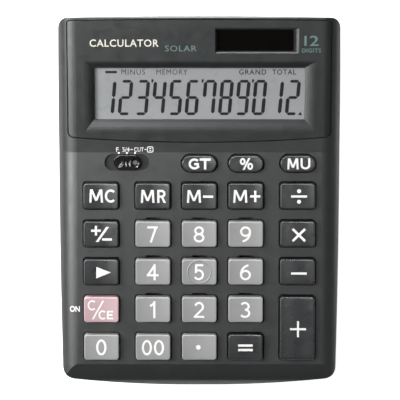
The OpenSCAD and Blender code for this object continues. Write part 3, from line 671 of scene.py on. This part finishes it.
SHEET_TOP, SHEET_BOTTOM, DOME_TOP = -6.1, -6.99, -3.6
DOME = (  # (radius, level)
    (4.6, SHEET_TOP - 0.3), (4.6, SHEET_TOP + 0.05), (4.3, SHEET_TOP + 0.5), (3.5, -4.7),
    (2.95, -4.1), (2.7, DOME_TOP - 0.06), (2.5, DOME_TOP),
)


def build_sheet():
    cu, cv, half_u, half_v = footprint("dome_sheet", KEYPAD)
    plate = prism(rounded(half_u, half_v, 0.5, 2), flat, SHEET_BOTTOM, SHEET_TOP)
    name, look = "silicone_sheet", M["silicone"]
    sheet = add(name, move(plate, cu, cv), KEYPAD, look, ROOT)
    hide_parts("dome_sheet")


def build_dome(node):
    """A dome under a key, which stands on the sheet, with a mesh of its own."""
    cu, cv, _, _ = footprint(node, KEYPAD)
    name, look = node.replace("key_", "dome_"), M["silicone"]
    dome = add(name, turned(cu, cv, DOME), KEYPAD, look, ROOT)
    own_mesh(dome)


# ---------- printed lettering ----------

CUT_STEP = 0.35  # width of the strips that letters on a curved surface are cut into
CAPITAL_SHARE = 0.73  # height of a capital, as a share of the font's size


def write(name, text, place, size, face, material, surface, low=PRINT_LOW, bold=0.0, spread=1.0):
    """Generic lettering as a thin closed mesh on a surface, of a given size round its middle."""
    data = bpy.data.curves.new(name + "_text", "FONT")
    data.body = text
    data.size = size[1] / CAPITAL_SHARE
    data.space_character = spread
    data.offset = bold
    data.extrude = 0.5
    data.resolution_u = 3
    temp = bpy.data.objects.new(name + "_text", data)
    bpy.context.collection.objects.link(temp)
    bpy.context.view_layer.update()
    mesh = bpy.data.meshes.new_from_object(temp)
    bpy.data.objects.remove(temp)
    spans = [[f(v.co[i] for v in mesh.vertices) for f in (min, max)] for i in range(2)]
    bm = bmesh.new()
    bm.from_mesh(mesh)
    for vert in bm.verts:
        u, v = (
            place[i] + size[i] * ((vert.co[i] - spans[i][0]) / (spans[i][1] - spans[i][0]) - 0.5)
            for i in range(2)
        )
        vert.co = (u, v, low if vert.co.z < 0 else low + PRINT_HIGH - PRINT_LOW)
    bmesh.ops.remove_doubles(bm, verts=bm.verts, dist=0.002)
    if surface is not flat:
        # Cuts across the letters let them follow the surface.
        cuts = math.floor(size[0] / CUT_STEP)
        for i in range(1, cuts + 1):
            across = (place[0] - size[0] / 2 + size[0] * i / (cuts + 1), 0, 0)
            everything = bm.verts[:] + bm.edges[:] + bm.faces[:]
            bmesh.ops.bisect_plane(bm, geom=everything, plane_co=across, plane_no=(1, 0, 0))
    for vert in bm.verts:
        u, v, level = vert.co
        vert.co = face @ Vector((u, v, surface(u, v) + level))
    bmesh.ops.recalc_face_normals(bm, faces=bm.faces)
    bm.to_mesh(mesh)
    bm.free()
    mesh.name = name
    mesh.materials.clear()
    mesh.materials.append(material)
    obj = bpy.data.objects.new(name, mesh)
    bpy.context.collection.objects.link(obj)
    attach(obj, ROOT)


# ---------- display ----------

SEGMENTS = {
    "0": "abcdef", "1": "bc", "2": "abged", "3": "abgcd", "4": "fgbc", "5": "afgcd",
    "6": "afgedc", "7": "fabc", "8": "abcdefg", "9": "abfgcd",
}
SHOWN = "123456789012"
DIGIT_W, DIGIT_H, DIGIT_LEAN, DIGIT_PITCH = 5.2, 14.07, 0.089, 6.6
SEGMENT_V, SEGMENT_H, SEGMENT_GAP = 1.4, 1.12, 0.08  # upright and level widths, and the gaps
DIGITS_RIGHT, DIGITS_LOW = 39.5, -8.8  # from the window's middle
INK_LOW, INK_HIGH = 0.003, 0.022  # above the glass
THOUSANDS_AFTER = (2, 5, 8)  # digits that a thousands mark follows
TICK = ((0, -1.0), (0.5, -1.2), (0.95, 0.1), (0.05, 0.3))  # a thousands mark, from its left end
POINT = ((-0.5, 0), (1.1, 0), (0.4, 1.4))  # the decimal point, from the last digit's low corner
MINUS_BAR = ((-37.0, 7.9), (-32.4, 7.9), (-32.4, 8.85), (-37.0, 8.85))  # from the middle
INDICATOR_V, INDICATOR_H = 8.4, 2.1
INDICATORS = (  # text, u, width, look, boldness
    ("MINUS", -26.0, 9.3, "indicator", 0.0), ("MEMORY", -10.8, 12.2, "indicator", 0.0),
    ("GRAND", 21.0, 10.7, "segment", 0.03), ("TOTAL", 33.4, 9.4, "segment", 0.03),
)


def digit(char, u0, v0):
    """Segments of one display digit, whose lower left corner is at (u0, v0)."""
    w, h, a, b = DIGIT_W, DIGIT_H, SEGMENT_V / 2, SEGMENT_H / 2
    mid = h / 2
    ends = {
        "a": ((a, h - b), (w - a, h - b)), "g": ((a, mid), (w - a, mid)), "d": ((a, b), (w - a, b)),
        "f": ((a, mid), (a, h - b)), "b": ((w - a, mid), (w - a, h - b)),
        "e": ((a, b), (a, mid)), "c": ((w - a, b), (w - a, mid)),
    }
    out = []
    for name in SEGMENTS[char]:
        (x0, y0), (x1, y1) = ends[name]
        if y0 == y1:
            x0, x1 = x0 + SEGMENT_GAP, x1 - SEGMENT_GAP
            pts = [(x0, y0), (x0 + b, y0 - b), (x1 - b, y0 - b),
                   (x1, y0), (x1 - b, y0 + b), (x0 + b, y0 + b)]
        else:
            y0, y1 = y0 + SEGMENT_GAP, y1 - SEGMENT_GAP
            pts = [(x0, y0), (x0 + a, y0 + a), (x0 + a, y1 - a),
                   (x0, y1), (x0 - a, y1 - a), (x0 - a, y0 + a)]
        out.append([(u0 + x + (y - mid) * DIGIT_LEAN, v0 + y) for x, y in pts])
    return out


def build_display():
    """Digits and indicators, printed just above the glass."""
    cu, cv, _, _ = footprint("display_window", DISPLAY)
    glass_top = local_box("lcd_glass", DISPLAY)[1].z
    low, high = glass_top + INK_LOW, glass_top + INK_HIGH
    right, bottom = cu + DIGITS_RIGHT, cv + DIGITS_LOW
    outlines = []
    for i, char in enumerate(SHOWN):
        u0 = right - DIGIT_W - (len(SHOWN) - 1 - i) * DIGIT_PITCH
        outlines += digit(char, u0, bottom)
        if i in THOUSANDS_AFTER:
            tick = u0 + DIGIT_PITCH - 0.35
            outlines.append([(tick + u, bottom + DIGIT_H + v) for u, v in TICK])
    outlines.append([(right + u, bottom + v) for u, v in POINT])
    outlines.append([(cu + u, cv + v) for u, v in MINUS_BAR])
    ink = merged(*(prism(pts, flat, low, high) for pts in outlines))
    add("display_segments", ink, DISPLAY, M["segment"])
    for text, u, width, look, bold in INDICATORS:
        name, place = "indicator_" + text.lower(), (cu + u, cv + INDICATOR_V)
        write(name, text, place, (width, INDICATOR_H), DISPLAY, M[look], flat, low, bold, 1.2)


# ---------- marks on the case ----------

ROLL_START, ROLL_R = 47.9, 9.6  # where the side rolls start, and their radius

# Offsets are from the middle of the knob.
MARKS_V, MARKS_H = 5.15, 1.75
SWITCH_WORDS = (  # name, text, u, width
    ("mark_f", "F", -3.75, 1.05), ("mark_round", "5/4", -0.4, 2.9), ("mark_cut", "CUT", 4.75, 3.9),
)
STOP_PITCH, STOP_V, STOP_R = 3.2, 3.78, 0.42  # dots at the knob's three places
DASHES_U, DASH_HALF = (1.85, 7.35), 0.4
BOX_U, BOX_HALF_U, BOX_HALF_V = 9.2, 1.1, 1.05
BOX_BAR_HALF, BOX_BARS_V = 0.45, (0.38, -0.38)
BOX_LINE, BAR_LINE = 0.35, 0.3  # line widths

PANEL_WORDS = (  # name, text, place, size, material, boldness, spread
    ("mark_word", "CALCULATOR", (-29.4, 39.2), (27, 2.9), "print_cream", 0.05, 1.1),
    ("mark_power", "SOLAR", (-7.2, 37.1), (12.4, 2.3), "print_teal", 0.02, 1.1),
    ("badge_number", "12", (43.9, 40.1), (5.6, 4.0), "print_teal", 0.03, 0.85),
    ("badge_word", "DIGITS", (43.9, 36.3), (7.4, 1.6), "print_teal", 0.03, 1.1),
)


def case_surface(u, v):
    """The case over the key plane: the display's slope at the rear, and a fall to each side."""
    turn = DISPLAY.inverted() @ KEYPAD
    a, b = (turn @ Vector((u, v, w)) for w in (0, 1))
    rise = max(0.0, -a.z / (b.z - a.z))
    out = max(0.0, abs(u) - ROLL_START)
    return rise - (ROLL_R - math.sqrt(ROLL_R * ROLL_R - out * out))


def switch_marks():
    """Generic marks for the places of the slide switch."""
    cu, cv, _, _ = footprint("mode_slider", KEYPAD)
    top = cv + MARKS_V
    for name, text, u, width in SWITCH_WORDS:
        size = (width, MARKS_H)
        write(name, text, (cu + u, top), size, KEYPAD, M["print"], case_surface, bold=0.035)
    shapes = [disc(cu + s * STOP_PITCH, cv + STOP_V, STOP_R, case_surface) for s in (-1, 0, 1)]
    for u in DASHES_U:
        dash = [(cu + u - DASH_HALF, top), (cu + u + DASH_HALF, top)]
        shapes.append(stroke(dash, BOX_LINE, case_surface))
    box_u = cu + BOX_U
    outline = [(box_u + u, top + v) for u, v in rounded(BOX_HALF_U, BOX_HALF_V, 0.4, 4)]
    shapes.append(stroke(outline, BOX_LINE, case_surface, closed=True))
    for v in BOX_BARS_V:
        bar = [(box_u - BOX_BAR_HALF, top + v), (box_u + BOX_BAR_HALF, top + v)]
        shapes.append(stroke(bar, BAR_LINE, case_surface))
    add("mark_dots", merged(*shapes), KEYPAD, M["print"])


def case_marks():
    """ON beside the clear key, plain words on the panel, and the number of digits."""
    on_at = (-49.6, footprint("key_clear", KEYPAD)[1] - 0.2)
    write("mark_on", "ON", on_at, (4.0, 2.4), KEYPAD, M["print"], case_surface, bold=0.08)
    for name, text, place, size, look, bold, spread in PANEL_WORDS:
        write(name, text, place, size, DISPLAY, M[look], flat, bold=bold, spread=spread)


# ---------- switch knob ----------

# Levels are from the key face.
KNOB_TOP, KNOB_BOTTOM = 0.9, -1.35
KNOB_HALF_U, KNOB_HALF_V, KNOB_EDGE = 5.3, 2.95, 0.35
KNOB_RINGS = 18  # rings across the knob's top
LOBE_U, LOBE_R, LOBE_DEPTH = 3.4, 1.85, 0.5
LOBE_LEAN = (0.157, -0.023)  # how the right dish deepens along u and v, so that it shines evenly
DENTS_U, DENT_HALF_U, DENT_HALF_V, DENT_DEPTH = (-0.7, 0.7), 0.65, 1.5, 0.35
STEM_LOW, PLATE_LOW, PLATE_TOP = -3.0, -3.9, -2.95
# levels of the black sheet of painted shade on the floor of the switch recess
SHADE_SHEET_LOW, SHADE_SHEET_TOP = -1.65, -1.55


def knob_top(u, v):
    """Height of the knob: a steep-walled round dish at each end, and two short dents between."""
    lobe = -LOBE_U if u < 0 else LOBE_U
    reach = min(1.0, math.hypot(u - lobe, v) / LOBE_R)
    lean = 0.0 if u < 0 else LOBE_LEAN[0] * (u - lobe) + LOBE_LEAN[1] * v
    dish = max(0.05, LOBE_DEPTH + lean) * (1 - reach**6)
    along = max(0.0, 1 - (v / DENT_HALF_V) ** 2)
    dents = sum(DENT_DEPTH * max(0.0, 1 - ((u - c) / DENT_HALF_U) ** 2) * along for c in DENTS_U)
    return KNOB_TOP - dish - dents


def build_knob():
    cu, cv, _, _ = footprint("mode_slider", KEYPAD)

    def outline(inset, short=0.01):
        """The knob's outline drawn in, whose ends are a touch short of half circles."""
        half_u, half_v = KNOB_HALF_U - inset, KNOB_HALF_V - inset
        return rounded(half_u, half_v, half_v - short, 10, 22)

    rings = [[(u, v, z) for u, v in outline(0)] for z in (KNOB_BOTTOM, 0)]
    for i in range(5):
        a = math.radians(22.5 * i)
        inset, drop = KNOB_EDGE * (1 - math.cos(a)), KNOB_EDGE * (1 - math.sin(a))
        rings.append([(u, v, knob_top(u, v) - drop) for u, v in outline(inset)])
    for i in range(1, KNOB_RINGS + 1):
        inset = KNOB_EDGE + (KNOB_HALF_V - KNOB_EDGE - 0.03) * i / KNOB_RINGS
        rings.append([(u, v, knob_top(u, v)) for u, v in outline(inset, 0.005)])
    stem = prism(rounded(1.4, 1.1, 1.09, 6), flat, STEM_LOW, KNOB_BOTTOM + 0.1)
    plate = prism(rounded(8.1, 2.7, 0.8, 4), flat, PLATE_LOW, PLATE_TOP)
    shape = move(merged(loft(rings), stem, plate), cu, cv)
    knob = add("mode_slider_knob", shape, KEYPAD, M["gloss"], "mode_slider")
    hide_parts("mode_slider")
    # A black sheet on the floor of the recess, with the slot in its middle: painted shade that
    # darkens the recess.
    outer, inner = (rounded(w, h, h - 0.01, 10, 4) for w, h in ((8.7, 3.15), (4.95, 1.4)))
    sides = (outer, SHADE_SHEET_LOW), (outer, SHADE_SHEET_TOP), (inner, SHADE_SHEET_TOP), (inner, SHADE_SHEET_LOW)
    shade_sheet = hoop([[(u, v, z) for u, v in pts] for pts, z in sides])
    add("switch_shade_sheet", move(shade_sheet, cu, cv), KEYPAD, M["holder"], ROOT)


for node in keys:
    build_key(node)
build_sheet()
for node in keys:
    build_dome(node)
build_display()
switch_marks()
case_marks()
build_knob()


# ---------- camera, light, floor ----------

LIGHTS_AIM = Vector((0, 0, 0.01))
LIGHTS = (  # name, size, power, place
    ("soft_left", (0.4, 0.3), 4.0, (-0.5, 0.03, 0.54)),
    ("soft_rear", (0.9, 0.3), 20.0, (-0.15, 0.85, 0.2)),
    ("soft_top", (0.3, 0.3), 4.0, (-0.3, 0.12, 0.95)),
    ("soft_right", (0.15, 0.15), 0.22, (0.25, -0.2, 0.95)),
)
WORLD_STRENGTH = 0.03
FLOOR_HALF = 3
FLOOR_LOOK = {
    "Base Color": (0.9, 0.9, 0.9, 1),
    "Roughness": 0.9,
    "Emission Color": (1, 1, 1, 1),
    "Emission Strength": 0.85,
}

# The camera looks straight down, from a little off the middle, as in the photo.
camera = bpy.data.objects.new("camera", bpy.data.cameras.new("camera"))
bpy.context.collection.objects.link(camera)
bpy.context.scene.camera = camera
camera.location = (0.00028, 0.0012, 0.85)
camera.rotation_euler = (0, 0, 0)
camera.data.lens = 188.6
camera.data.clip_start = 0.05
camera.data.clip_end = 20

for name, size, power, place in LIGHTS:
    data = bpy.data.lights.new(name, "AREA")
    data.shape = "RECTANGLE"
    data.size, data.size_y = size
    data.energy = power
    light = bpy.data.objects.new(name, data)
    bpy.context.collection.objects.link(light)
    light.location = place
    light.rotation_euler = (LIGHTS_AIM - Vector(place)).to_track_quat("-Z", "Y").to_euler()

world = bpy.data.worlds.new("studio")
bpy.context.scene.world = world
world.use_nodes = True
background = world.node_tree.nodes["Background"]
background.inputs["Color"].default_value = (1, 1, 1, 1)
background.inputs["Strength"].default_value = WORLD_STRENGTH

floor_mat = bpy.data.materials.new("pale_floor")
floor_mat.use_nodes = True
shader = floor_mat.node_tree.nodes["Principled BSDF"]
for socket, value in FLOOR_LOOK.items():
    shader.inputs[socket].default_value = value
floor_mesh = bpy.data.meshes.new("floor")
corners = [(s * FLOOR_HALF, t * FLOOR_HALF, 0) for s, t in ((-1, -1), (1, -1), (1, 1), (-1, 1))]
floor_mesh.from_pydata(corners, [], [(0, 1, 2, 3)])
floor_mesh.materials.append(floor_mat)
floor = bpy.data.objects.new("floor", floor_mesh)
bpy.context.collection.objects.link(floor)
floor.location.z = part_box("rubber_feet")[0][2] - 0.05 * MM

bpy.context.scene.view_settings.view_transform = "Standard"

bpy.context.view_layer.update()
